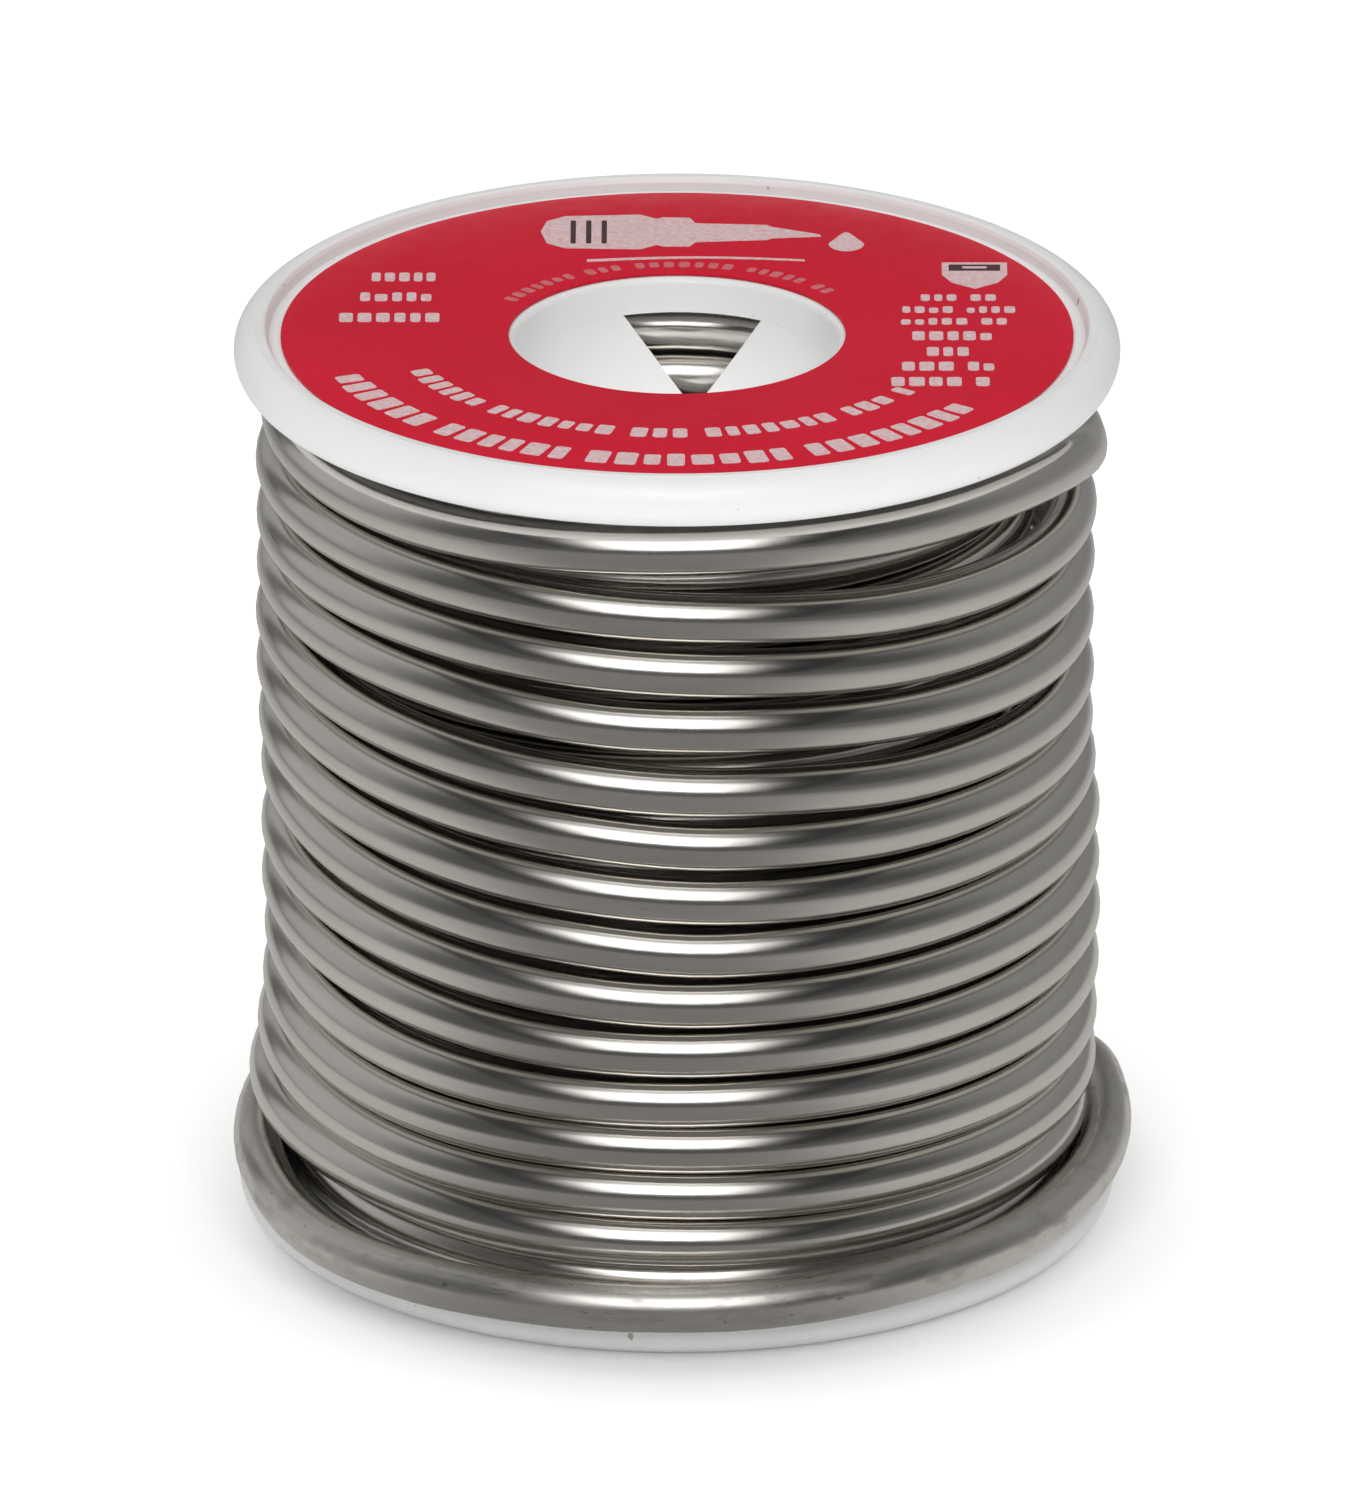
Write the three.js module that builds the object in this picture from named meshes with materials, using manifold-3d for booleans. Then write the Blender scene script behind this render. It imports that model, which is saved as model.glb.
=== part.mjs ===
// Solder wire spool: a two-piece moulded plastic spool holding a pound of thick solder wire.
// Millimetres, +Z up. Origin: centre of the circle that the lower rim stands on.
import * as THREE from 'three';
import { mergeVertices } from 'three/addons/utils/BufferGeometryUtils.js';
import Module from 'manifold-3d';

const wasm = await Module();
wasm.setup();

// ---- driving dimensions ----
const HEIGHT = 59.9;          // overall, rim crest to rim crest
const FLANGE_R = 28.3;        // outer radius of both flanges
const RIM_R = 1.7;            // rim bead: half its thickness
const RIM_C = 26.6;           // radius of the bead's centre circle
const STEP_R = 26.05;         // where the bead rises out of the flat web
const LABEL_DROP = 0.7;       // label face below the rim crest
const LABEL_T = 0.2;
const LABEL_R = 25.3;
const LABEL_HOLE_R = 10.75;
const WEB_T = 1.25;           // flange web
const FIT = 0.05;             // paper to plastic
const BORE_R = 10.3;          // spindle bore
const BARREL_R = 12.0;        // outside of the barrel
const BARREL_TOP = 56.4;      // the barrel's open end, under the upper flange's collar
const JOINT_GAP = 0.3;        // barrel end to the collar that it is welded to
const NOTCH_W = 8.8;          // V notch in the barrel's end: width at the top
const NOTCH_H = 6.6;
const NOTCH_AZ = 84;          // degrees, and the opposite side
const WIRE_D = 3.175;         // 1/8 inch solder wire
const WIRE_R = WIRE_D / 2;
const OUTER_LAYER_R = 25.1;   // centre of the outer layer's wire
const INNER_PACK = [12.2, 22.9, 2.5, 56.3];   // layers 1 to 3: r in, r out, z low, z high
const OUTER_IN_R = 23.2;
const LAST_IN = 1.25;         // the last turn sits this much deeper, beside the rim
const NEXT_IN = 0.95;         // and the turn above it a little less
// heights of the fifteen turns of the outer layer, top to bottom
const TURNS = [53.7, 49.9, 46.0, 42.0, 37.8, 33.95, 30.3, 26.6, 23.25, 19.8, 16.45, 13.3, 10.1, 6.95, 3.9];
// loose last turn: leaves the pack at the back, lies on the lower rim all the way round and slips off its edge.
// azimuth (deg), radius, height of the wire's centre
const LOOSE = [[42, 27.2, 5.12], [60, 27.1, 5.12], [90, 27.08, 5.12], [130, 27.08, 5.12], [165, 27.08, 5.12], [176, 27.1, 5.12], [182, 27.16, 5.1],
  [190, 27.42, 5.03], [199, 27.85, 4.92], [205, 28.3, 4.66], [212, 28.76, 4.34], [220, 29.02, 4.08], [234, 29.12, 3.96], [250, 29.04, 4.05],
  [265, 29.05, 4.04], [286, 28.98, 4.12], [296, 28.82, 4.28], [308, 28.62, 4.45], [320, 28.52, 4.53], [333, 28.06, 4.8], [346, 27.82, 4.91],
  [360, 27.75, 4.94], [366, 27.85, 4.91], [371.6, 28.1, 4.8]];
// free end, dropping off the rim to the bench at the back
const FREE = [[372.4, 28.14, 4.78], [380, 28.75, 4.46], [388, 29.45, 3.68], [396, 30.05, 2.55], [404, 30.6, 1.85], [414, 31.2, 1.66],
  [424, 32.0, 1.66], [434, 33.0, 1.66]];

// ---- helpers ----
function clean(geometry) {
  geometry.deleteAttribute('normal');
  geometry.deleteAttribute('uv');
  let g = mergeVertices(geometry, 1e-4);
  const p = g.attributes.position, idx = g.index.array, keep = [];
  const v = (i) => new THREE.Vector3().fromBufferAttribute(p, i);
  let volume = 0;
  for (let i = 0; i < idx.length; i += 3) {
    const [a, b, c] = [idx[i], idx[i + 1], idx[i + 2]];
    if (a === b || b === c || a === c) continue;
    keep.push(a, b, c);
    volume += v(a).dot(v(b).cross(v(c)));
  }
  if (volume < 0) for (let i = 0; i < keep.length; i += 3) [keep[i + 1], keep[i + 2]] = [keep[i + 2], keep[i + 1]];
  g.setIndex(keep);
  return g;
}
function turned(profile, segments) {
  const pts = profile.map(([r, z]) => new THREE.Vector2(r, z));
  pts.push(pts[0].clone());
  return clean(new THREE.LatheGeometry(pts, segments).rotateX(Math.PI / 2));
}
function solid(geometry) {
  return new wasm.Manifold(new wasm.Mesh({
    numProp: 3,
    vertProperties: new Float32Array(geometry.attributes.position.array),
    triVerts: new Uint32Array(geometry.index.array),
  }));
}
function unsolid(manifold) {
  const m = manifold.getMesh(), g = new THREE.BufferGeometry();
  g.setAttribute('position', new THREE.BufferAttribute(new Float32Array(m.vertProperties), 3));
  g.setIndex(Array.from(m.triVerts));
  return g;
}
function arc(cr, cz, r, from, to, n) {
  const out = [];
  for (let i = 0; i <= n; i++) {
    const a = THREE.MathUtils.degToRad(from + (to - from) * i / n);
    out.push([cr + r * Math.cos(a), cz + r * Math.sin(a)]);
  }
  return out;
}
const polar = ([az, r, z]) => new THREE.Vector3(r * Math.cos(az * Math.PI / 180), r * Math.sin(az * Math.PI / 180), z);
function wire(points, steps) {
  const ring = new THREE.Shape(arc(0, 0, WIRE_R, 0, 315, 7).map(([x, y]) => new THREE.Vector2(x, y)));
  const path = new THREE.CatmullRomCurve3(points.map(polar), false, 'centripetal');
  return clean(new THREE.ExtrudeGeometry(ring, { steps, bevelEnabled: false, extrudePath: path }));
}

// ---- lower moulding: bottom flange and barrel, with two V notches in the barrel's end ----
const webLow = LABEL_DROP + LABEL_T + FIT;
const webHigh = webLow + WEB_T;
const FLAT = 0.35;            // half width of the flat that the rim stands on
const lowerProfile = [
  [BORE_R + 0.35, webLow], [STEP_R - 0.25, webLow], [STEP_R, webLow - 0.25], [STEP_R + 0.12, 0.2], [RIM_C - FLAT, 0],
  [RIM_C + FLAT, 0], ...arc(RIM_C, RIM_R, RIM_R, -65, 65, 7), [RIM_C + FLAT, 2 * RIM_R], [RIM_C - FLAT, 2 * RIM_R],
  [STEP_R, 2 * RIM_R - 0.3], [STEP_R - 0.2, webHigh + 0.2], [STEP_R - 0.5, webHigh], [BARREL_R + 0.4, webHigh],
  [BARREL_R, webHigh + 0.4], [BARREL_R, BARREL_TOP],
  [BORE_R, BARREL_TOP], [BORE_R, webLow + 0.35],
];
let body = solid(turned(lowerProfile, 48));
for (const side of [0, 180]) {
  const tri = new THREE.Shape([new THREE.Vector2(-NOTCH_W / 2, BARREL_TOP + 0.01), new THREE.Vector2(0, BARREL_TOP - NOTCH_H),
    new THREE.Vector2(NOTCH_W / 2, BARREL_TOP + 0.01)]);
  const cut = new THREE.ExtrudeGeometry(tri, { depth: 8, bevelEnabled: false });
  // shape plane to vertical, extrusion along +X, then out to the wall and round to its azimuth
  cut.rotateX(Math.PI / 2).rotateZ(Math.PI / 2).translate(BORE_R - 3, 0, 0);
  cut.rotateZ(THREE.MathUtils.degToRad(NOTCH_AZ + side));
  body = body.subtract(solid(clean(cut)));
}

// ---- upper moulding: flange ring with a short collar, welded to the barrel's end ----
const T = HEIGHT;
const upperProfile = [
  [BORE_R + 0.35, T - webLow], [STEP_R - 0.25, T - webLow], [STEP_R, T - webLow + 0.25], [STEP_R + 0.12, T - 0.2],
  [RIM_C - FLAT, T], [RIM_C + FLAT, T], ...arc(RIM_C, T - RIM_R, RIM_R, 65, -65, 7), [RIM_C + FLAT, T - 2 * RIM_R],
  [RIM_C - FLAT, T - 2 * RIM_R], [STEP_R, T - 2 * RIM_R + 0.3], [STEP_R - 0.2, T - webHigh - 0.2], [STEP_R - 0.5, T - webHigh],
  [BARREL_R + 0.3, T - webHigh], [BARREL_R, T - webHigh - 0.3], [BARREL_R, BARREL_TOP + JOINT_GAP], [BORE_R, BARREL_TOP + JOINT_GAP], [BORE_R, T - webLow - 0.35],
];

// ---- printed labels, flat paper rings in the flanges' recesses ----
const labelRing = (low) => turned([[LABEL_HOLE_R, low], [LABEL_R, low], [LABEL_R, low + LABEL_T], [LABEL_HOLE_R, low + LABEL_T]], 48);

// ---- wire: layers 1 to 3 as one ring, the outer layer as a ring with its fifteen turns on it ----
const [pin, pout, pz0, pz1] = INNER_PACK;
const outer = [[OUTER_IN_R, TURNS[0] + WIRE_R]];
TURNS.forEach((z, i) => {
  const r = OUTER_LAYER_R - (i === TURNS.length - 1 ? LAST_IN : i === TURNS.length - 2 ? NEXT_IN : 0);
  if (i > 0) {
    const gap = TURNS[i - 1] - z - WIRE_D;
    outer.push([r + Math.max(-0.9, 0.35 - gap * 1.6), (TURNS[i - 1] + z) / 2]);
  } else outer.push([r, z + WIRE_R]);
  outer.push([r + 0.97 * WIRE_R, z + 0.42 * WIRE_R], [r + 0.97 * WIRE_R, z - 0.42 * WIRE_R]);
});
outer.push([OUTER_LAYER_R - LAST_IN, TURNS[14] - WIRE_R + 0.1], [OUTER_IN_R, TURNS[14] - WIRE_R + 0.1]);

// ---- assembly ----
const white = () => new THREE.MeshStandardMaterial({ color: 0xf2f2f0, roughness: 0.42, metalness: 0 });
const red = () => new THREE.MeshStandardMaterial({ color: 0xc82338, roughness: 0.45, metalness: 0 });
const tin = () => new THREE.MeshStandardMaterial({ color: 0xc9c7c4, roughness: 0.24, metalness: 1 });

const spool = new THREE.Group();
const add = (name, geometry, material) => {
  geometry.computeVertexNormals();
  const mesh = new THREE.Mesh(geometry, material);
  mesh.name = name;
  spool.add(mesh);
};
add('spool_body', unsolid(body), white());
add('upper_flange', turned(upperProfile, 48), white());
add('top_label', labelRing(T - LABEL_DROP - LABEL_T), red());
add('bottom_label', labelRing(LABEL_DROP), red());
add('wire_inner_layers', turned([[pin, pz0], [pout, pz0], [pout, pz1], [pin, pz1]], 40), tin());
add('wire_outer_layer', turned(outer, 32), tin());
add('wire_loose_turn', wire(LOOSE, 52), tin());
add('wire_free_end', wire(FREE, 14), tin());

export default spool;
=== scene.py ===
import math
import bpy
import numpy as np
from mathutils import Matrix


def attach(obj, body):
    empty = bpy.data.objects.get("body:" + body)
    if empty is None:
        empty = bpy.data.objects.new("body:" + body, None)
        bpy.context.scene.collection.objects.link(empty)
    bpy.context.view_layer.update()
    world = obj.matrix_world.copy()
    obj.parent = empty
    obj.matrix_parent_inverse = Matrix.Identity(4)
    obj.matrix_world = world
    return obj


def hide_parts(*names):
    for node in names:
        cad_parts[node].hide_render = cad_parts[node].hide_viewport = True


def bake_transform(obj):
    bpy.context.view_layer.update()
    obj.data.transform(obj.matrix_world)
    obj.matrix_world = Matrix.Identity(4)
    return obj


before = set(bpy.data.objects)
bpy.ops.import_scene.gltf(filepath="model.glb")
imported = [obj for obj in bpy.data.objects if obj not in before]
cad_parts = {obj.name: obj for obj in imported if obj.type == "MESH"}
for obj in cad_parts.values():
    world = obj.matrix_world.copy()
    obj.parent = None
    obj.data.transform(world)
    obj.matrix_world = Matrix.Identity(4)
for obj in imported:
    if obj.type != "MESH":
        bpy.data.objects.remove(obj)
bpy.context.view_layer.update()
rng = np.random.default_rng(7)
MM = 0.001
scene = bpy.context.scene

# ------------------------------------------------------------------ dimensions, mm, as the CAD has them
HEIGHT = 59.9
RIM_R, RIM_C, STEP_R = 1.7, 26.6, 26.05
LABEL_DROP, LABEL_T, LABEL_R, LABEL_HOLE_R = 0.7, 0.2, 25.3, 10.75
WEB_T, FIT = 1.25, 0.05
BORE_R, BARREL_R, BARREL_TOP = 10.3, 12.0, 56.64
SEAM = 0.006                  # hairline at the weld between the barrel's end and the upper collar
NOTCH_W, NOTCH_H, NOTCH_AZ = 8.8, 6.6, 84.0
WIRE_R = 3.175 / 2

# ------------------------------------------------------------------ camera
cam_data = bpy.data.cameras.new("camera")
cam = bpy.data.objects.new("camera", cam_data)
scene.collection.objects.link(cam)
scene.camera = cam
ELEV = math.radians(22.02)
DIST = 1.55
TARGET = np.array([0.000154, 0.0, 0.03047])
cam.location = TARGET + DIST * np.array([0, -math.cos(ELEV), math.sin(ELEV)])
cam.rotation_euler = (math.pi / 2 - ELEV, 0, 0)
cam_data.sensor_width = 36
cam_data.lens = 24124 / 1500 * 36
cam_data.clip_start, cam_data.clip_end = 0.05, 12
scene.view_settings.view_transform = "Standard"
scene.view_settings.look = "None"

# ------------------------------------------------------------------ mesh helpers


def make(name, verts, faces, smooth=True):
    me = bpy.data.meshes.new(name)
    me.from_pydata([tuple(v) for v in verts], [], [tuple(f) for f in faces])
    me.validate()
    me.update()
    if smooth:
        me.polygons.foreach_set("use_smooth", [True] * len(me.polygons))
    o = bpy.data.objects.new(name, me)
    scene.collection.objects.link(o)
    return o


def set_sharp(o, angle=40):
    me = o.data
    me.update()
    import bmesh
    bm = bmesh.new()
    bm.from_mesh(me)
    for e in bm.edges:
        if len(e.link_faces) == 2 and e.calc_face_angle(0) > math.radians(angle):
            e.smooth = False
    bm.to_mesh(me)
    bm.free()


def arc(cx, cz, r, a0, a1, n):
    return [(cx + r * math.cos(math.radians(a0 + (a1 - a0) * i / n)), cz + r * math.sin(math.radians(a0 + (a1 - a0) * i / n))) for i in range(n + 1)]


def fillet(points, radii, n=5):
    """Rounds the corners of a closed profile; radii is one value per point, 0 for a point that stays."""
    out = []
    m = len(points)
    for i, (p, r) in enumerate(zip(points, radii)):
        p = np.array(p, float)
        a = np.array(points[i - 1], float) - p
        b = np.array(points[(i + 1) % m], float) - p
        la, lb = np.linalg.norm(a), np.linalg.norm(b)
        if r <= 0 or la < 1e-9 or lb < 1e-9:
            out.append(tuple(p))
            continue
        a, b = a / la, b / lb
        half = math.acos(np.clip(a @ b, -1, 1)) / 2
        t = min(r / math.tan(half), la * 0.49, lb * 0.49)
        p0, p1 = p + a * t, p + b * t
        for k in range(n + 1):
            u = k / n
            out.append(tuple((1 - u) ** 2 * p0 + 2 * u * (1 - u) * p + u * u * p1))
    return out


def lathe(name, profile, segs, z_shift=None):
    """A closed ring from a closed profile of (r, z) in mm. z_shift(index, azimuth) lifts or lowers a profile point."""
    n = len(profile)
    verts, faces = [], []
    for j in range(segs):
        a = 2 * math.pi * j / segs
        c, s = math.cos(a), math.sin(a)
        for i, (r, z) in enumerate(profile):
            dz = z_shift(i, a) if z_shift else 0.0
            verts.append((r * c * MM, r * s * MM, (z + dz) * MM))
    for j in range(segs):
        k = (j + 1) % segs
        for i in range(n):
            m = (i + 1) % n
            faces.append((j * n + i, k * n + i, k * n + m, j * n + m))
    return make(name, verts, faces)


# ------------------------------------------------------------------ node helpers


def material(name):
    m = bpy.data.materials.new(name)
    m.use_nodes = True
    nt = m.node_tree
    bsdf = nt.nodes["Principled BSDF"]
    return m, nt, bsdf


def node(nt, kind, **values):
    n = nt.nodes.new(kind)
    for k, v in values.items():
        setattr(n, k, v)
    return n


def noise(nt, vector, scale, detail=3.0, rough=0.5):
    n = node(nt, "ShaderNodeTexNoise")
    n.inputs["Scale"].default_value = scale
    n.inputs["Detail"].default_value = detail
    n.inputs["Roughness"].default_value = rough
    nt.links.new(vector, n.inputs["Vector"])
    return n.outputs["Fac"]


def ramp(nt, value, stops):
    n = node(nt, "ShaderNodeValToRGB")
    e = n.color_ramp.elements
    while len(e) < len(stops):
        e.new(0.5)
    for i, (p, c) in enumerate(stops):
        e[i].position = p
        e[i].color = (c, c, c, 1) if isinstance(c, (int, float)) else (*c, 1)
    nt.links.new(value, n.inputs["Fac"])
    return n.outputs["Color"]


def maths(nt, op, a, b=None, clamp=False):
    n = node(nt, "ShaderNodeMath", operation=op, use_clamp=clamp)
    for i, v in enumerate((a, b)):
        if v is None:
            continue
        if isinstance(v, (int, float)):
            n.inputs[i].default_value = v
        else:
            nt.links.new(v, n.inputs[i])
    return n.outputs[0]


def mixc(nt, fac, a, b, mode="MIX"):
    n = node(nt, "ShaderNodeMix", data_type="RGBA", blend_type=mode)
    for s, v in (("Factor", fac), ("A", a), ("B", b)):
        sock = next(i for i in n.inputs if i.name == s and i.enabled)
        if isinstance(v, (int, float)):
            sock.default_value = v
        elif isinstance(v, tuple):
            sock.default_value = (*v, 1)
        else:
            nt.links.new(v, sock)
    return next(o for o in n.outputs if o.enabled)


def scaled(nt, vector, sx, sy, sz):
    n = node(nt, "ShaderNodeMapping")
    n.inputs["Scale"].default_value = (sx, sy, sz)
    nt.links.new(vector, n.inputs["Vector"])
    return n.outputs["Vector"]


def bump(nt, bsdf, height, strength, distance, prev=None):
    n = node(nt, "ShaderNodeBump")
    n.inputs["Strength"].default_value = strength
    n.inputs["Distance"].default_value = distance
    nt.links.new(height, n.inputs["Height"])
    if prev is not None:
        nt.links.new(prev, n.inputs["Normal"])
    nt.links.new(n.outputs["Normal"], bsdf.inputs["Normal"])
    return n.outputs["Normal"]


# ------------------------------------------------------------------ materials


def plastic(name):
    m, nt, b = material(name)
    co = node(nt, "ShaderNodeTexCoord").outputs["Object"]
    big = noise(nt, co, 55, 2)
    fine = noise(nt, co, 2600, 4, 0.6)
    speck = noise(nt, co, 900, 2, 0.4)
    tone = ramp(nt, big, [(0.3, (0.845, 0.845, 0.838)), (0.7, (0.885, 0.885, 0.88))])
    spots = ramp(nt, speck, [(0.755, 0.0), (0.79, 1.0)])
    colour = mixc(nt, spots, tone, (0.42, 0.41, 0.39))
    nt.links.new(colour, b.inputs["Base Color"])
    rough = ramp(nt, noise(nt, co, 320, 3), [(0.3, 0.30), (0.7, 0.43)])
    nt.links.new(rough, b.inputs["Roughness"])
    b.inputs["IOR"].default_value = 1.5
    b.inputs["Subsurface Weight"].default_value = 0.05
    b.inputs["Subsurface Radius"].default_value = (0.9, 0.85, 0.8)
    b.inputs["Subsurface Scale"].default_value = 0.0012
    n1 = bump(nt, b, fine, 0.12, 0.00006)
    bump(nt, b, noise(nt, co, 140, 2), 0.12, 0.0004, n1)
    return m


def paper(name, low, high):
    m, nt, b = material(name)
    co = node(nt, "ShaderNodeTexCoord").outputs["Object"]
    tone = ramp(nt, noise(nt, co, 90, 3), [(0.3, low), (0.7, high)])
    grain = noise(nt, co, 4200, 3, 0.7)
    tone = mixc(nt, ramp(nt, grain, [(0.35, 0.06), (0.6, 0.0)]), tone, tuple(0.6 * v for v in low))
    nt.links.new(tone, b.inputs["Base Color"])
    nt.links.new(ramp(nt, noise(nt, co, 500, 2), [(0.3, 0.38), (0.7, 0.5)]), b.inputs["Roughness"])
    b.inputs["IOR"].default_value = 1.45
    b.inputs["Specular IOR Level"].default_value = 0.25
    bump(nt, b, grain, 0.25, 0.00003)
    return m


def ink(name, colour, backing, cover=0.12):
    m, nt, b = material(name)
    co = node(nt, "ShaderNodeTexCoord").outputs["Object"]
    thin = ramp(nt, noise(nt, co, 2600, 4, 0.7), [(0.34, cover + 0.35), (0.62, cover)])
    nt.links.new(mixc(nt, thin, colour, backing), b.inputs["Base Color"])
    nt.links.new(ramp(nt, noise(nt, co, 700, 2), [(0.3, 0.4), (0.7, 0.55)]), b.inputs["Roughness"])
    return m


def metal(name):
    """Drawn solder: fine lines along the wire, soft scuffs, small nicks, more of them on the handled last turn."""
    m, nt, b = material(name)
    at = node(nt, "ShaderNodeAttribute", attribute_name="wire_co", attribute_type="GEOMETRY").outputs["Vector"]
    use = node(nt, "ShaderNodeAttribute", attribute_name="wear", attribute_type="GEOMETRY").outputs["Fac"]
    b.inputs["Metallic"].default_value = 1.0
    lines = noise(nt, scaled(nt, at, 5200, 5200, 26), 1.0, 4, 0.6)
    broad = noise(nt, scaled(nt, at, 500, 500, 45), 1.0, 3, 0.5)
    blot = noise(nt, scaled(nt, at, 900, 900, 380), 1.0, 4, 0.55)
    nick = noise(nt, scaled(nt, at, 2400, 2400, 900), 1.0, 2, 0.5)
    scuff = ramp(nt, blot, [(0.52, 0.0), (0.74, 1.0)])
    nicks = ramp(nt, nick, [(0.70, 0.0), (0.76, 1.0)])
    tone = ramp(nt, broad, [(0.3, (0.68, 0.653, 0.612)), (0.7, (0.80, 0.772, 0.73))])
    tone = mixc(nt, maths(nt, "MULTIPLY", scuff, maths(nt, "ADD", maths(nt, "MULTIPLY", use, 0.42), 0.08)), tone, (0.43, 0.415, 0.39))
    tone = mixc(nt, maths(nt, "MULTIPLY", nicks, maths(nt, "ADD", maths(nt, "MULTIPLY", use, 0.6), 0.10)), tone, (0.24, 0.23, 0.21))
    nt.links.new(tone, b.inputs["Base Color"])
    r = maths(nt, "MULTIPLY_ADD", ramp(nt, broad, [(0.3, 0.0), (0.7, 1.0)]), 0.035)
    r.node.inputs[2].default_value = 0.150
    r2 = maths(nt, "ADD", r, maths(nt, "MULTIPLY", scuff, maths(nt, "ADD", maths(nt, "MULTIPLY", use, 0.22), 0.03)))
    streak = ramp(nt, noise(nt, scaled(nt, at, 1500, 1500, 110), 1.0, 4, 0.6), [(0.35, 0.0), (0.62, 1.0)])
    r3 = maths(nt, "ADD", r2, maths(nt, "MULTIPLY", use, maths(nt, "ADD", maths(nt, "MULTIPLY", streak, 0.13), 0.06)))
    nt.links.new(r3, b.inputs["Roughness"])
    n1 = bump(nt, b, lines, 0.10, 0.00002)
    n2 = bump(nt, b, blot, 0.10, 0.00008, n1)
    bump(nt, b, maths(nt, "MULTIPLY", nicks, maths(nt, "ADD", use, 0.15)), -0.5, 0.00006, n2)
    return m


PLASTIC = plastic("white_polystyrene")
RED = paper("red_label", (0.635, 0.005, 0.027), (0.68, 0.008, 0.034))
WHITE_INK = ink("white_ink", (0.78, 0.71, 0.715), (0.70, 0.012, 0.032), 0.10)
FAINT_INK = ink("faint_ink", (0.60, 0.30, 0.32), (0.70, 0.012, 0.032), 0.35)
DARK_INK = ink("dark_ink", (0.03, 0.03, 0.035), (0.2, 0.02, 0.03), 0.05)
METAL = metal("bright_solder")

# ------------------------------------------------------------------ the two mouldings
web_low = LABEL_DROP + LABEL_T + FIT
web_high = web_low + WEB_T


def rim(z0, up):
    """The rim's outline, from the label side round the outside to the wire side, for the flange whose outer face is at z0."""
    s = 1 if up else -1
    pts = [(STEP_R - 0.02, z0 - s * web_low), (STEP_R + 0.10, z0 - s * 0.34)]
    pts += [(STEP_R + 0.26, z0 - s * 0.06), (RIM_C - 0.1, z0), (RIM_C + 0.34, z0)]
    out = fillet(pts, [0.05, 0.12, 0.2, 0.2, 0.0], 4)
    out = out[:len(out)]
    out += arc(RIM_C, z0 - s * RIM_R, RIM_R, s * 78, -s * 78, 26)
    out += [(RIM_C - 0.30, z0 - s * 2 * RIM_R), (STEP_R - 0.05, z0 - s * (2 * RIM_R - 0.35)), (STEP_R - 0.22, z0 - s * (web_high + 0.25)),
            (STEP_R - 0.55, z0 - s * web_high)]
    return out


T = HEIGHT
upper = [(BORE_R + 0.42, T - web_low)]
upper += [(LABEL_R + 0.1, T - web_low), (LABEL_R + 0.35, T - web_low - 0.10), (STEP_R - 0.2, T - web_low - 0.10)]
upper += rim(T, True)
upper += [(BARREL_R + 0.35, T - web_high), (BARREL_R + 0.1, T - web_high - 0.08), (BARREL_R, T - web_high - 0.35)]
upper += [(BARREL_R, BARREL_TOP + SEAM + 0.06), (BARREL_R - 0.06, BARREL_TOP + SEAM), (BORE_R + 0.2, BARREL_TOP + SEAM),
          (BORE_R, BARREL_TOP + SEAM), (BORE_R, BARREL_TOP + SEAM + 0.2), (BORE_R, 57.6)]
lip = arc(BORE_R + 0.42, T - web_low - 0.42, 0.42, 180, 90, 6)
upper += lip[:-1]
upper_flange = lathe("upper_flange_moulding", upper, 256)
set_sharp(upper_flange, 50)
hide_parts("upper_flange")


def notch(azimuth):
    d = 0.0
    for c in (NOTCH_AZ, NOTCH_AZ + 180):
        t = (math.degrees(azimuth) - c + 180) % 360 - 180
        across = abs(math.radians(t)) * BORE_R
        half = NOTCH_W / 2
        if across < half + 0.4:
            raw = NOTCH_H * (1 - math.sqrt(across * across + 0.16) / half) + 0.28
            d = max(d, raw)
    return max(d, 0.0)


lower = [(BORE_R + 0.42, web_low), (LABEL_R + 0.1, web_low), (LABEL_R + 0.35, web_low + 0.10), (STEP_R - 0.2, web_low + 0.10)]
lower += rim(0, False)
lower += [(BARREL_R + 0.5, web_high), (BARREL_R + 0.15, web_high + 0.12), (BARREL_R, web_high + 0.5), (BARREL_R, 20), (BARREL_R, 40),
          (BARREL_R, 46)]
top_first = len(lower)
lower += [(BARREL_R, BARREL_TOP - 0.3), (BARREL_R, BARREL_TOP - 0.08), (BARREL_R - 0.08, BARREL_TOP), (BORE_R + 0.2, BARREL_TOP),
          (BORE_R, BARREL_TOP), (BORE_R, BARREL_TOP - 0.2), (BORE_R, BARREL_TOP - 0.6)]
top_last = len(lower) - 1
lower += [(BORE_R, 46), (BORE_R, 30), (BORE_R, 12)]
lower += arc(BORE_R + 0.42, web_low + 0.42, 0.42, 180, 270, 6)[:-1]


def notch_shift(i, a):
    """The V notch, its flanks falling away to the outside of the wall."""
    if top_first <= i <= top_last:
        d = notch(a)
        return -d - (lower[i][0] - BORE_R) * 0.5 * min(1.0, d / 0.8)
    return 0.0


spool_body = lathe("spool_body_moulding", lower, 512, notch_shift)
set_sharp(spool_body, 50)
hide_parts("spool_body")

# ------------------------------------------------------------------ labels
def label(name, low, up):
    hi = low + LABEL_T
    prof = fillet([(LABEL_HOLE_R, low), (LABEL_R, low), (LABEL_R, hi), (LABEL_HOLE_R, hi)], [0.02, 0.02, 0.06, 0.06], 3)
    return lathe(name, prof, 192)


top_label = label("upper_label_paper", T - LABEL_DROP - LABEL_T, True)
bottom_label = label("lower_label_paper", LABEL_DROP, False)
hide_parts("top_label")
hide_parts("bottom_label")

INK_Z = T - LABEL_DROP
INK_T = 0.025
print_parts = {"white": ([], []), "faint": ([], []), "dark": ([], [])}


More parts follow.
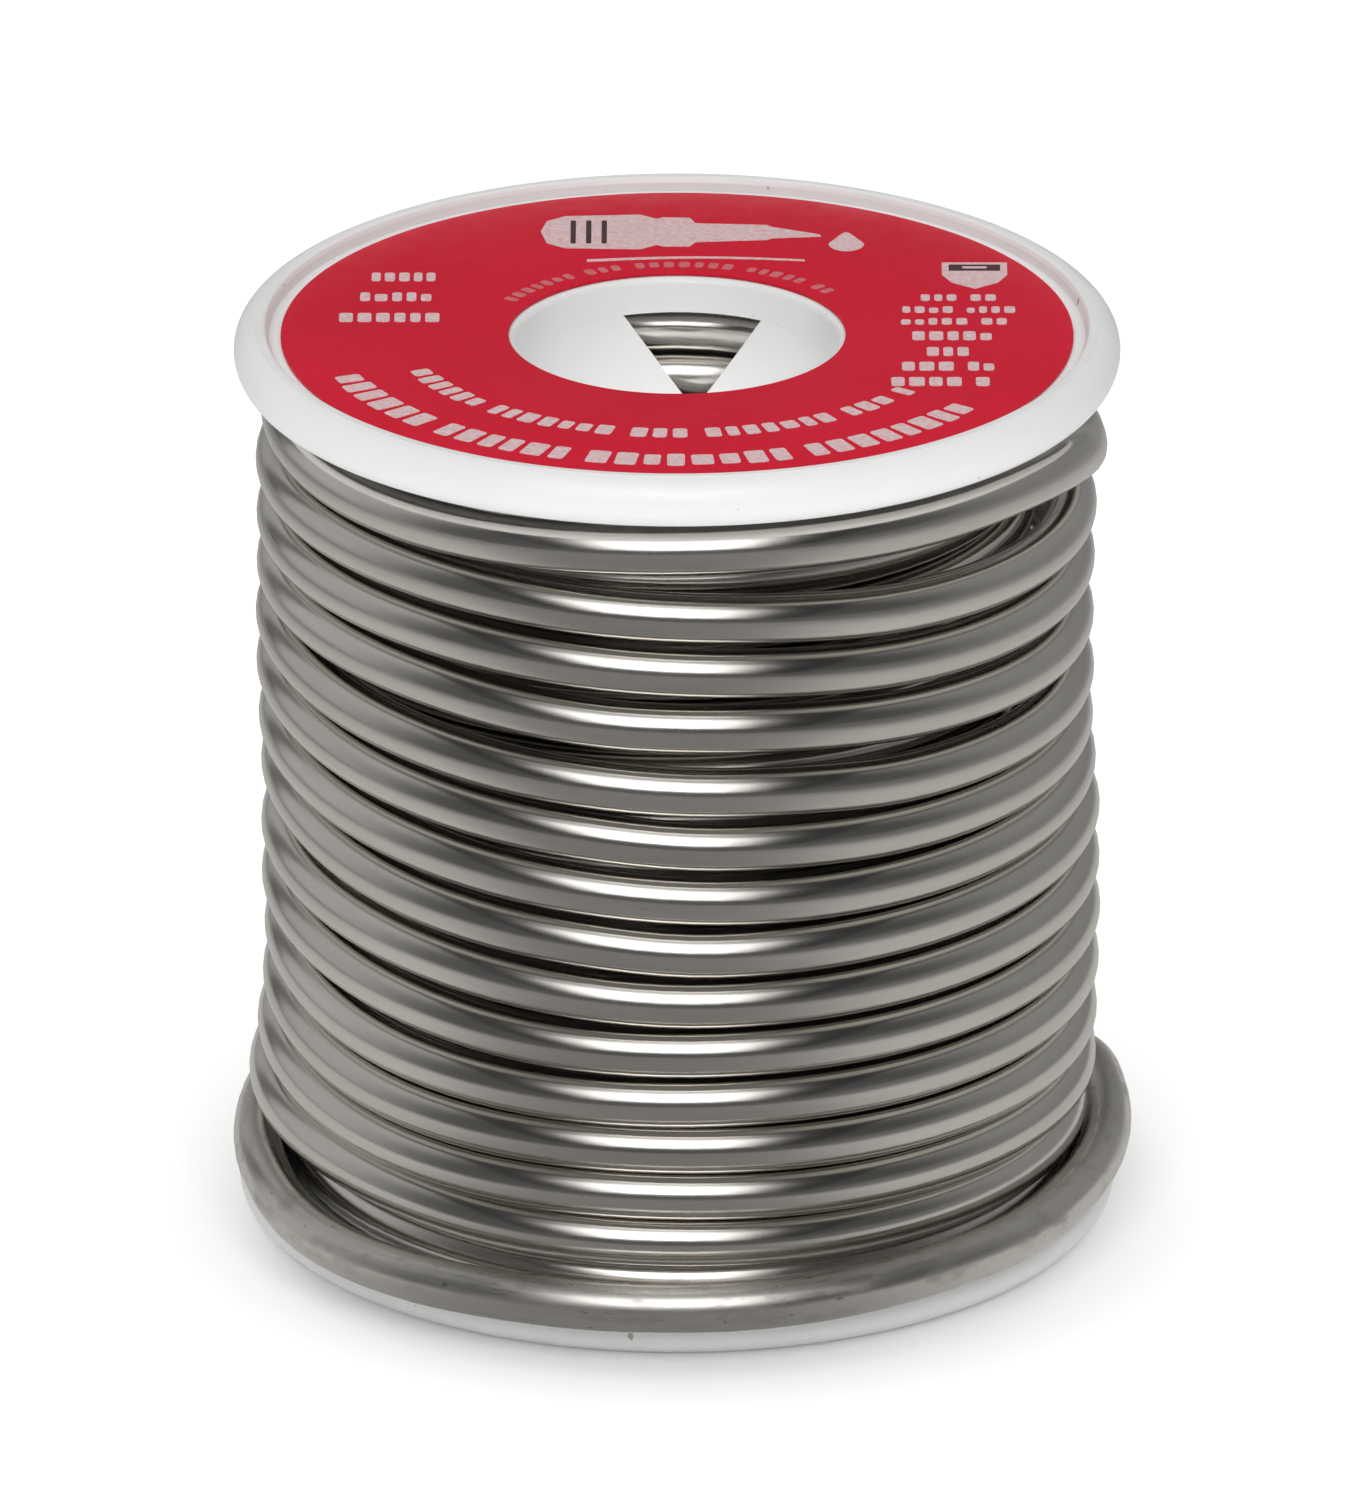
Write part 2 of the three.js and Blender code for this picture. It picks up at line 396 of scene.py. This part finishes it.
def shape(kind, outline, lift=0.0):
    """A flat printed shape: outline points in mm on the label, drawn as a very thin slab of ink."""
    verts, faces = print_parts[kind]
    n, base = len(outline), len(verts)
    z0, z1 = INK_Z - 0.01 + lift, INK_Z + INK_T + lift
    area = sum(outline[i - 1][0] * outline[i][1] - outline[i][0] * outline[i - 1][1] for i in range(n))
    if area < 0:
        outline = outline[::-1]
    verts += [(x * MM, y * MM, z1 * MM) for x, y in outline] + [(x * MM, y * MM, z0 * MM) for x, y in outline]
    faces.append(tuple(range(base, base + n)))
    faces.append(tuple(range(base + 2 * n - 1, base + n - 1, -1)))
    for i in range(n):
        j = (i + 1) % n
        faces.append((base + i, base + n + i, base + n + j, base + j))


def rounded(cx, cy, w, h, r, turn=0.0, slant=0.0):
    pts = []
    r = min(r, w / 2 - 1e-3, h / 2 - 1e-3)
    for sx, sy, a0 in ((1, 1, 0), (-1, 1, 90), (-1, -1, 180), (1, -1, 270)):
        for k in range(4):
            a = math.radians(a0 + 30 * k)
            x = sx * (w / 2 - r) + r * math.cos(a)
            y = sy * (h / 2 - r) + r * math.sin(a)
            x += slant * y
            c, s = math.cos(turn), math.sin(turn)
            pts.append((cx + x * c - y * s, cy + x * s + y * c))
    return pts


def blocks(width, char_w, gap, word=(3, 8), seed=1):
    """Positions and widths of the little blocks that fill a printed line."""
    g = np.random.default_rng(seed)
    x, out, left = 0.0, [], int(g.integers(*word))
    while True:
        w = char_w * float(g.uniform(0.8, 1.15))
        if x + w > width:
            break
        out.append((x + w / 2, w))
        x += w + gap
        left -= 1
        if left == 0:
            x += gap * 2.2
            left = int(g.integers(*word))
    return out


def line(kind, x0, x1, y, h, char_w, gap, seed, word=(4, 9), slope=0.0):
    for cx, w in blocks(x1 - x0, char_w, gap, word, seed):
        hh = h * (1.0 if (int(cx * 97) % 5) else 0.8)
        shape(kind, rounded(x0 + cx, y + slope * cx - (h - hh) / 2, w, hh, 0.22, slope))


def on_arc(kind, radius, a0, a1, h, char_w, gap, seed, inward=True, word=(3, 9)):
    """Blocks along an arc from azimuth a0 to a1 in degrees."""
    length = abs(math.radians(a1 - a0)) * radius
    for s, w in blocks(length, char_w, gap, word, seed):
        az = math.radians(a0) + (s / radius) * (1 if a1 > a0 else -1)
        turn = az + math.pi / 2
        hh = h * (1.0 if (int(s * 83) % 6) else 0.82)
        shape(kind, rounded(radius * math.cos(az), radius * math.sin(az), w, hh, 0.22, turn))


# far side: a soldering iron with its drop, and a bar under it
iron = [(-9.0, 18.1), (-8.6, 20.0), (-7.4, 20.9), (-2.6, 21.2), (-1.9, 20.7), (-1.5, 20.4), (-1.1, 20.7), (0.6, 20.6), (1.0, 19.6), (5.6, 19.3),
        (6.0, 18.9), (9.0, 17.6), (9.1, 17.2), (6.0, 16.9), (5.6, 16.6), (1.0, 16.2), (0.6, 15.4), (-1.1, 15.4), (-1.5, 15.7), (-1.9, 15.4),
        (-2.6, 14.9), (-7.4, 15.1), (-8.6, 16.0)]
shape("white", [(x + 0.2, y) for x, y in iron])
drop = [(10.9 + 1.15 * math.cos(t) * (1 - 0.42 * max(0.0, math.sin(t))), 15.9 + 1.35 * math.sin(t) + 0.75 * max(0.0, math.sin(t)) ** 3)
        for t in np.linspace(0, 2 * math.pi, 29)[:-1]]
shape("white", drop)
for gx in (-6.9, -5.9, -4.9):
    shape("dark", rounded(gx + 0.2, 18.0, 0.34, 4.2, 0.16), 0.012)
bar = [(-5.8 + 14.0 * u, 13.05 + 0.55 * math.sin(math.pi * u)) for u in np.linspace(0, 1, 17)]
bar += [(-5.8 + 14.0 * u, 12.62 + 0.55 * math.sin(math.pi * u) + 0.12 * u) for u in np.linspace(1, 0, 17)]
shape("white", bar)
on_arc("faint", 12.15, 152, 32, 0.95, 0.62, 0.32, 3, word=(3, 8))
# left block
line("white", -19.6, -14.6, 9.9, 1.55, 0.68, 0.26, 11, (6, 7))
line("white", -20.3, -15.4, 6.35, 1.55, 0.72, 0.30, 12, (5, 6))
line("white", -21.6, -14.9, 2.65, 1.60, 0.80, 0.30, 13, (6, 7))
# right block: a small plain badge and short lines
shape("white", [(17.0, 12.5), (21.2, 12.5), (21.2, 10.3), (20.6, 8.9), (19.1, 7.8), (17.6, 8.9), (17.0, 10.3)])
shape("dark", [(17.45, 12.1), (20.75, 12.1), (20.75, 11.0), (17.45, 11.0)], 0.012)
shape("white", rounded(19.1, 11.55, 1.6, 0.35, 0.12), 0.03)
for k, (x0, x1, y, h, cw) in enumerate([(15.6, 21.0, 6.2, 1.15, 0.62), (14.4, 22.0, 4.05, 1.15, 0.62), (14.3, 21.7, 1.95, 1.15, 0.62),
                                        (15.0, 20.8, -0.6, 1.55, 0.80), (15.9, 19.9, -3.4, 1.55, 0.70), (14.3, 20.5, -6.0, 1.55, 0.85),
                                        (13.6, 20.6, -8.7, 1.55, 0.90)]):
    line("white", x0, x1, y, h, cw, 0.28, 30 + k, (3, 6))
# near side: two printed arcs
on_arc("white", 17.7, 202, 327, 1.55, 0.95, 0.36, 5, word=(3, 8))
on_arc("white", 22.35, 200, 329, 2.05, 1.28, 0.42, 6, word=(4, 9))

ink_objects = []
for kind, mat in (("white", WHITE_INK), ("faint", FAINT_INK), ("dark", DARK_INK)):
    o = make("label_print_" + kind, *print_parts[kind], smooth=False)
    o.data.materials.append(mat)
    ink_objects.append(o)

# ------------------------------------------------------------------ the wire's route
AZ = [180, 228, 245, 259.5, 273.6, 287.8, 303.4, 360]
Z4 = [
    [54.45, 53.98, 54.10, 54.32, 54.48, 54.50, 54.45, 51.40],
    [50.83, 50.45, 50.18, 49.85, 49.60, 49.20, 48.60, 47.72],
    [47.16, 46.80, 46.45, 46.10, 45.80, 45.45, 44.95, 44.20],
    [43.78, 43.20, 42.65, 42.20, 42.05, 41.75, 41.25, 40.26],
    [40.40, 39.07, 38.47, 38.05, 37.70, 37.50, 36.93, 36.47],
    [37.00, 35.42, 34.83, 34.40, 33.92, 33.76, 33.48, 33.22],
    [33.36, 31.76, 31.10, 30.63, 30.25, 30.09, 30.06, 30.26],
    [30.20, 28.12, 27.50, 27.07, 26.61, 26.64, 26.70, 27.05],
    [25.90, 24.48, 23.90, 23.47, 23.25, 23.27, 23.30, 23.49],
    [22.40, 20.73, 20.12, 19.87, 19.82, 19.84, 19.82, 19.97],
    [18.90, 16.95, 16.60, 16.46, 16.45, 16.44, 16.38, 16.45],
    [15.40, 13.55, 13.32, 13.30, 13.26, 13.16, 13.07, 13.00],
    [12.10, 10.34, 10.12, 10.12, 10.06, 9.92, 9.86, 9.78],
    [8.72, 7.60, 7.10, 6.98, 6.88, 6.72, 6.67, 6.58],
    [4.70, 4.40, 4.15, 4.00, 3.92, 3.90, 3.88, 3.86],
]
R_LEFT = [25.00, 25.40, 25.36, 25.33, 25.43, 25.40, 25.27, 25.19, 25.18, 25.13, 25.00, 25.10, 25.50, 26.02, 23.70]
R_MID = [25.85, 25.20, 25.15, 25.12, 25.10, 25.08, 25.08, 25.10, 25.12, 25.12, 25.10, 25.12, 25.16, 25.10, 24.35]
R_RIGHT = [25.90, 25.27, 25.23, 25.15, 25.19, 25.13, 25.29, 25.59, 25.62, 25.69, 25.57, 25.53, 25.45, 24.95, 24.30]

way = []  # azimuth, radius, height


def span(a0, a1, r0, r1, z0, z1, every):
    n = max(2, int(round(abs(a1 - a0) / every)))
    for k in range(n + 1):
        u = k / n
        way.append((a0 + (a1 - a0) * u, r0 + (r1 - r0) * u, z0 + (z1 - z0) * u))


def layer(a0, turns, r, z0, z1):
    """One layer wound with most of each turn level and the climb to the next in a short crossover."""
    low = 1 / (1 + math.exp(0.30 * 16))
    for n in range(int(turns * 6)):
        t, u = n // 6, (n % 6) / 6
        step = 0.25 * u + 0.75 * (1 / (1 + math.exp(-(u - 0.30) * 16)) - low) / (1 - 2 * low)
        way.append((a0 + 60 * n, r, z0 + (z1 - z0) * (t + min(step, 1.0)) / turns))
    way.append((a0 + 360 * turns, r, z1))


layer(-16740, 15, 13.75, 3.95, 54.65)
way += [(-11290, 14.4, 54.8), (-11220, 15.6, 55.1), (-11130, 16.9, 55.4)]
layer(-11040, 15.5, 17.5, 55.5, 4.0)
way += [(-5420, 18.4, 4.3), (-5380, 20.3, 4.8)]
layer(-5340, 15, 21.3, 5.2, 54.35)
way += [(95, 22.6, 54.5), (125, 23.9, 54.5), (155, 24.8, 54.35)]
for i, (zs, rl, rm, rr) in enumerate(zip(Z4, R_LEFT, R_MID, R_RIGHT)):
    for a, z in zip(AZ, zs):
        if a == 360 and i < 14:
            r = rr
        elif a <= 200:
            r = rl
        elif a >= 340:
            r = rr
        else:
            u = (a - 180) / 180
            r = (1 - u) ** 2 * rl + 2 * u * (1 - u) * (2 * rm - (rl + rr) / 2) + u * u * rr
        way.append((a + 360 * i, r, z))
    # behind: the turns over the crossing bulge and ride a little high
    if i == 11:
        way += [(a + 360 * i, r, z) for a, r, z in [(368, 25.5, 13.1), (378, 25.6, 13.2), (390, 25.7, 13.1), (425, 25.5, 12.95), (470, 25.45, 12.6)]]
    if i == 12:
        way += [(a + 360 * i, r, z) for a, r, z in [(368, 25.45, 9.95), (378, 25.4, 10.2), (390, 25.4, 10.15), (425, 25.4, 9.95), (470, 25.5, 9.5)]]
    if i == 13:
        way += [(a + 360 * i, r, z) for a, r, z in [(368, 24.75, 7.1), (378, 24.4, 7.45), (390, 24.1, 7.3), (415, 23.95, 7.0), (450, 23.9, 6.4),
                                                    (500, 23.8, 5.4)]]
way += [(323, 25.9, 54.32), (342, 25.9, 53.38), (352, 25.9, 52.4)]
END = 360 * 14
LOOSE = [(366, 24.75, 4.2), (374, 25.7, 4.86), (384, 26.7, 5.02), (396, 27.05, 5.03), (415, 27.05, 5.0), (450, 27.0, 5.0), (500, 26.95, 5.0),
         (530, 26.85, 5.01), (536, 26.85, 5.0), (542, 27.0, 4.98), (550, 27.37, 4.92), (559, 27.83, 4.8), (565, 28.28, 4.56), (572, 28.76, 4.2),
         (580, 29.02, 3.94), (594, 29.12, 3.84), (610, 29.04, 3.93), (625, 29.05, 3.92), (646, 28.98, 4.0), (656, 28.82, 4.16),
         (668, 28.62, 4.33), (680, 28.54, 4.40), (693, 28.06, 4.68), (706, 27.82, 4.78), (720, 27.74, 4.81), (726, 27.85, 4.77), (731.6, 28.1, 4.7)]
FREE = [(732.4, 28.14, 4.68), (740, 28.75, 4.36), (748, 29.45, 3.6), (756, 30.05, 2.5), (764, 30.6, 1.85), (774, 31.2, 1.66), (784, 32.0, 1.66),
        (794, 33.0, 1.66)]
way += [(a + END, r, z) for a, r, z in LOOSE + FREE]
way.sort(key=lambda w: w[0])
way = np.array(way)
keep = np.r_[True, np.diff(way[:, 0]) > 0.01]
way = way[keep]


def hermite(x, y, q):
    """Smooth curve through the points, with limited slopes so that it doesn't overshoot."""
    h = np.diff(x)
    d = np.diff(y) / h
    m = np.zeros_like(y)
    w1, w2 = 2 * h[1:] + h[:-1], h[1:] + 2 * h[:-1]
    same = d[:-1] * d[1:] > 0
    with np.errstate(divide="ignore", invalid="ignore"):
        m[1:-1] = np.where(same, (w1 + w2) / (w1 / np.where(same, d[:-1], 1) + w2 / np.where(same, d[1:], 1)), 0)
    m[0], m[-1] = d[0], d[-1]
    i = np.clip(np.searchsorted(x, q, side="right") - 1, 0, len(h) - 1)
    t = (q - x[i]) / h[i]
    t2, t3 = t * t, t * t * t
    return (2 * t3 - 3 * t2 + 1) * y[i] + (t3 - 2 * t2 + t) * h[i] * m[i] + (3 * t2 - 2 * t3) * y[i + 1] + (t3 - t2) * h[i] * m[i + 1]


def smooth_noise(q, period, amount, seed):
    g = np.random.default_rng(seed)
    k = np.arange(int((q.max() - q.min()) / period) + 4)
    v = g.uniform(-1, 1, len(k)) * amount
    p = (q - q.min()) / period
    i = p.astype(int)
    t = p - i
    t = t * t * (3 - 2 * t)
    return v[i] * (1 - t) + v[i + 1] * t


JOIN = END + 732.0
az = np.concatenate([np.arange(-16740, -5000, 10.0), np.arange(-5000, 100, 6.0), np.arange(100, JOIN, 4.0), [JOIN], np.arange(JOIN + 2, END + 794.1, 2.0)])
rad = hermite(way[:, 0], way[:, 1], az)
hgt = hermite(way[:, 0], way[:, 2], az)
calm = np.where(az > END + 360, 0.25, np.where(az < 60, 0.4, 1.0))
rad = rad + smooth_noise(az, 75, 0.05, 21) * calm
hgt = hgt + smooth_noise(az, 62, 0.05, 22) * calm
hgt = np.where(az < 0, np.clip(hgt, 3.85, 56.0), hgt)
# gentle smoothing of the height, so that each crossover bends as wire does
for _ in range(3):
    hgt[1:-1] = 0.25 * hgt[:-2] + 0.5 * hgt[1:-1] + 0.25 * hgt[2:]
    rad[1:-1] = 0.25 * rad[:-2] + 0.5 * rad[1:-1] + 0.25 * rad[2:]
pts = np.c_[rad * np.cos(np.radians(az)), rad * np.sin(np.radians(az)), hgt]
seg = np.linalg.norm(np.diff(pts, axis=0), axis=1)
arc_len = np.r_[0, np.cumsum(seg)]
tan = np.gradient(pts, axis=0)
tan /= np.linalg.norm(tan, axis=1)[:, None]
out_dir = np.c_[np.cos(np.radians(az)), np.sin(np.radians(az)), np.zeros(len(az))]
nrm = out_dir - (out_dir * tan).sum(1)[:, None] * tan
nrm /= np.linalg.norm(nrm, axis=1)[:, None]
bin_ = np.cross(tan, nrm)
SIDES = 28
ang = np.linspace(0, 2 * math.pi, SIDES, endpoint=False)
DENTS = []
g = np.random.default_rng(5)
for _ in range(46):
    a = g.uniform(END + 560, END + 725)
    DENTS.append((a, g.uniform(-0.4, 1.5), g.uniform(0.25, 0.7), g.uniform(0.02, 0.07)))


def tube(name, first, last, cap_last):
    """The wire from ring first to ring last, with its scuffs as shallow dents in the surface."""
    idx = np.arange(first, last + 1)
    verts, co, wear = [], [], []
    s_all = arc_len[idx]
    dents = [(np.interp(a, az, arc_len), b, w, d) for a, b, w, d in DENTS]
    wob = smooth_noise(np.arange(len(az)) * 1.0, 9, 0.012, 31)
    for n, i in enumerate(idx):
        near = [q for q in dents if abs(q[0] - s_all[n]) < 3 * q[2] + 1]
        for j, a in enumerate(ang):
            r = WIRE_R * (1 + wob[i] * 0.5)
            for s0, b0, w0, d0 in near:
                da = (a - b0 + math.pi) % (2 * math.pi) - math.pi
                r -= d0 * math.exp(-((s_all[n] - s0) / w0) ** 2 - (da * WIRE_R / (0.8 * w0)) ** 2)
            p = pts[i] + r * (math.cos(a) * nrm[i] + math.sin(a) * bin_[i])
            verts.append(p * MM)
            co.append((math.cos(a) * WIRE_R * MM, math.sin(a) * WIRE_R * MM, s_all[n] * MM))
            wear.append(float(np.interp(az[i], [END + 250, END + 370, END + 500, END + 575], [0.0, 0.35, 0.4, 1.0])))
    faces = []
    m = len(idx)
    for n in range(m - 1):
        for j in range(SIDES):
            k = (j + 1) % SIDES
            faces.append((n * SIDES + j, n * SIDES + k, (n + 1) * SIDES + k, (n + 1) * SIDES + j))

    def cap(ring, sign):
        """A cut end: a small burr-free chamfer and a flat face."""
        base = [ring * SIDES + j for j in range(SIDES)]
        i = idx[ring]
        start = len(verts)
        for j, a in enumerate(ang):
            p = pts[i] + sign * 0.10 * tan[i] + (WIRE_R - 0.12) * (math.cos(a) * nrm[i] + math.sin(a) * bin_[i])
            verts.append(p * MM)
            co.append((math.cos(a) * WIRE_R * MM, math.sin(a) * WIRE_R * MM, (s_all[ring] + sign * 0.1) * MM))
            wear.append(1.0)
        for j in range(SIDES):
            k = (j + 1) % SIDES
            f = (base[j], base[k], start + k, start + j)
            faces.append(f if sign > 0 else f[::-1])
        f = tuple(range(start, start + SIDES))
        faces.append(f if sign > 0 else f[::-1])

    def flat(ring, sign):
        f = tuple(ring * SIDES + j for j in range(SIDES))
        faces.append(f if sign > 0 else f[::-1])

    if first == 0:
        cap(0, -1)
    else:
        flat(0, -1)
    if cap_last:
        cap(m - 1, 1)
    else:
        flat(m - 1, 1)
    o = make(name, verts, faces)
    a1 = o.data.attributes.new("wire_co", "FLOAT_VECTOR", "POINT")
    a1.data.foreach_set("vector", np.array(co, np.float32).ravel())
    a2 = o.data.attributes.new("wear", "FLOAT", "POINT")
    a2.data.foreach_set("value", np.array(wear, np.float32))
    set_sharp(o, 60)
    o.data.materials.append(METAL)
    return o


join = int(np.argmin(abs(az - JOIN)))
wire = tube("solder_wire", 0, join, False)
free_end = tube("solder_free_end", join, len(az) - 1, True)
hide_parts("wire_inner_layers", "wire_outer_layer", "wire_loose_turn")
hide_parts("wire_free_end")

# ------------------------------------------------------------------ materials and bodies
for o, mat, s in ((spool_body, PLASTIC, "spool_plastic"), (upper_flange, PLASTIC, "spool_plastic"), (top_label, RED, "label_paper"),
                  (bottom_label, RED, "label_paper")):
    o.data.materials.clear()
    o.data.materials.append(mat)
    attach(o, "spool")
for o in ink_objects:
    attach(o, "spool")
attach(wire, "spool")
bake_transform(free_end)

# ------------------------------------------------------------------ stage: pale floor, soft studio light


def disc(name, z, radius, rings=1, segs=96):
    verts = [(0, 0, z)]
    faces = []
    for j in range(segs):
        a = 2 * math.pi * j / segs
        verts.append((radius * math.cos(a), radius * math.sin(a), z))
    for j in range(segs):
        faces.append((0, 1 + j, 1 + (j + 1) % segs))
    return make(name, verts, faces, smooth=False)


floor = disc("floor", 0.0, 3.2)
fm, fnt, fb = material("pale_floor")
fb.inputs["Base Color"].default_value = (0.86, 0.86, 0.86, 1)
fb.inputs["Roughness"].default_value = 0.9
fb.inputs["Specular IOR Level"].default_value = 0.0
fb.inputs["Emission Color"].default_value = (1, 1, 1, 1)
# The floor's glow is 0.03 within 20 mm of a point 3 mm in front of the axis and rises to 0.54 by 60 mm: a painted
# contact shadow round the spool's base, reaching further in front.
fb_at = node(fnt, "ShaderNodeVectorMath", operation="SUBTRACT")
fnt.links.new(node(fnt, "ShaderNodeTexCoord").outputs["Object"], fb_at.inputs[0])
fb_at.inputs[1].default_value = (0.0, -0.003, 0.0)
fb_reach = node(fnt, "ShaderNodeVectorMath", operation="LENGTH")
fnt.links.new(fb_at.outputs["Vector"], fb_reach.inputs[0])
painted_shadow_reach = maths(fnt, "MULTIPLY", fb_reach.outputs["Value"], 10.0)
fnt.links.new(ramp(fnt, painted_shadow_reach, [(0.20, 0.03), (0.25, 0.12), (0.29, 0.25), (0.34, 0.39), (0.42, 0.50), (0.6, 0.54)]), fb.inputs["Emission Strength"])
floor.data.materials.append(fm)
floor.visible_glossy = False


def plateau(nt, angle, centre, half):
    """1 near the centre angle, falling smoothly to 0 past half (radians)."""
    t = maths(nt, "DIVIDE", maths(nt, "SUBTRACT", angle, centre), half)
    t2 = maths(nt, "MULTIPLY", t, t)
    return maths(nt, "EXPONENT", maths(nt, "MULTIPLY", maths(nt, "MULTIPLY", t2, t2), -1.0))


def bearing(nt, vector):
    """Angle round the vertical from the front, positive to the right, and the vector's z."""
    s = node(nt, "ShaderNodeSeparateXYZ")
    nt.links.new(vector, s.inputs[0])
    return maths(nt, "ARCTAN2", s.outputs["X"], maths(nt, "MULTIPLY", s.outputs["Y"], -1.0)), s.outputs["Z"]


# a glowing disc under the floor that only reflections see: a painted reflection of a lit floor for the metal, paler at
# the sides and behind near the spool, dimmer further out and dimmest in front
table = disc("floor_reflected", -0.0001, 3.2)
tm, tnt, tb = material("reflected_floor")
turn, _ = bearing(tnt, node(tnt, "ShaderNodeTexCoord").outputs["Object"])
reach = node(tnt, "ShaderNodeVectorMath", operation="LENGTH")
tnt.links.new(node(tnt, "ShaderNodeTexCoord").outputs["Object"], reach.inputs[0])
far = ramp(tnt, reach.outputs["Value"], [(0.07, 0.0), (0.34, 1.0)])
side_tone = mixc(tnt, far, (0.50, 0.495, 0.485), (0.26, 0.257, 0.25))
tnt.links.new(mixc(tnt, plateau(tnt, turn, -0.12, 0.77), side_tone, (0.215, 0.213, 0.208)), tb.inputs["Emission Color"])
tb.inputs["Emission Strength"].default_value = 1.0
tb.inputs["Base Color"].default_value = (0.02, 0.02, 0.02, 1)
tb.inputs["Roughness"].default_value = 1.0
tb.inputs["Specular IOR Level"].default_value = 0.0
table.data.materials.append(tm)
table.visible_camera = False
table.visible_diffuse = False
table.visible_shadow = False
table.visible_transmission = False

world = bpy.data.worlds.new("studio")
scene.world = world
world.use_nodes = True
wnt = world.node_tree
bg = wnt.nodes["Background"]
wturn, wz = bearing(wnt, node(wnt, "ShaderNodeTexCoord").outputs["Generated"])
low = ramp(wnt, wz, [(0.0, 0.20), (0.04, 0.115), (0.2, 0.09), (0.4, 0.09), (0.72, 0.07), (0.9, 0.10), (1.0, 0.25)])
left_wall = ramp(wnt, wz, [(0.0, 0.38), (0.17, 0.45), (0.75, 0.44), (1.0, 0.25)])
right_wall = ramp(wnt, wz, [(0.0, 0.24), (0.5, 0.27), (0.8, 0.24), (1.0, 0.25)])
right_low = ramp(wnt, wz, [(0.0, 0.19), (0.2, 0.165), (0.36, 0.085), (0.72, 0.07), (0.9, 0.10), (1.0, 0.25)])
sky = mixc(wnt, plateau(wnt, wturn, 1.20, 0.50), low, right_low)
sky = mixc(wnt, plateau(wnt, wturn, -2.15, 0.78), sky, left_wall)
sky = mixc(wnt, plateau(wnt, wturn, 2.30, 0.80), sky, right_wall)
strip = maths(wnt, "MULTIPLY", plateau(wnt, wturn, -2.43, 0.13), ramp(wnt, wz, [(0.0, 1.0), (0.5, 0.9), (0.75, 0.0)]))
sky = mixc(wnt, strip, sky, (0.13, 0.128, 0.122))
wnt.links.new(sky, bg.inputs["Color"])
bg.inputs["Strength"].default_value = 1.0


def aim(o, d):
    from mathutils import Vector
    o.rotation_mode = "QUATERNION"
    o.rotation_quaternion = Vector(d).to_track_quat("Z", "Y")


def area(name, direction, distance, w, h, radiance, at=(0, 0, 0.03)):
    d = np.array(direction, float)
    d /= np.linalg.norm(d)
    li = bpy.data.lights.new(name, "AREA")
    li.shape = "RECTANGLE"
    li.size, li.size_y = w, h
    li.energy = radiance * w * h * math.pi
    o = bpy.data.objects.new(name, li)
    o.location = tuple(np.array(at) + d * distance)
    aim(o, tuple(d))
    scene.collection.objects.link(o)
    return o


def glow_panel(name, elevation, distance, width, height, peak):
    """The face of the key softbox as the metal sees it: soft ends, brightest low down, dimmer overhead."""
    e = math.radians(elevation)
    d = np.array([0.0, -math.cos(e), math.sin(e)])
    up = np.array([0.0, math.sin(e), math.cos(e)])
    c = np.array([0, 0, 0.03]) + d * distance
    n, m = 24, 24
    verts, uv, faces = [], [], []
    for j in range(m + 1):
        for i in range(n + 1):
            x, y = (i / n - 0.5) * width, (j / m - 0.41) * height
            verts.append(c + np.array([x, 0, 0]) + up * y)
            uv.append((x / distance, y / distance, 0))
    for j in range(m):
        for i in range(n):
            k = j * (n + 1) + i
            faces.append((k, k + n + 1, k + n + 2, k + 1))
    o = make(name, verts, faces)
    at = o.data.attributes.new("panel", "FLOAT_VECTOR", "POINT")
    at.data.foreach_set("vector", np.array(uv, np.float32).ravel())
    m_, nt, b = material(name)
    sp = node(nt, "ShaderNodeSeparateXYZ")
    nt.links.new(node(nt, "ShaderNodeAttribute", attribute_name="panel", attribute_type="GEOMETRY").outputs["Vector"], sp.inputs[0])
    ends = plateau(nt, sp.outputs["X"], -0.035, 0.375)
    lift = maths(nt, "MULTIPLY_ADD", sp.outputs["Y"], 0.5)
    lift.node.inputs[2].default_value = 0.5
    rise = ramp(nt, lift, [(0.155, 0.0), (0.20, 0.9), (0.42, 1.0), (0.53, 0.82), (0.585, 0.28), (0.72, 0.17), (0.9, 0.06), (0.98, 0.0)])
    nt.links.new(maths(nt, "MULTIPLY", maths(nt, "MULTIPLY", ends, rise), peak), b.inputs["Emission Strength"])
    b.inputs["Emission Color"].default_value = (1, 1, 1, 1)
    b.inputs["Base Color"].default_value = (0.02, 0.02, 0.02, 1)
    o.data.materials.append(m_)
    o.visible_camera = False
    o.visible_diffuse = False
    o.visible_shadow = False
    o.visible_transmission = False
    return o


glow_panel("key_face", 55.0, 0.62, 1.0, 1.03, 2.3)
key = area("key_softbox", (0.0, -0.72, 0.69), 0.62, 0.50, 0.34, 3.45)
key.visible_glossy = False
bore_fill = bpy.data.lights.new("bore_fill", "POINT")
bore_fill.energy = 0.0014
bore_fill.shadow_soft_size = 0.003
bore_object = bpy.data.objects.new("bore_fill", bore_fill)
bore_object.location = (0.001, -0.004, 0.045)
scene.collection.objects.link(bore_object)
bore_object.visible_camera = False
bore_object.visible_glossy = False
tent = bpy.data.lights.new("tent", "SUN")
tent.energy = 1.10
tent.angle = math.radians(100)
tent_object = bpy.data.objects.new("tent", tent)
aim(tent_object, (0.0, 0.05, 1.0))
scene.collection.objects.link(tent_object)
tent_object.visible_glossy = False
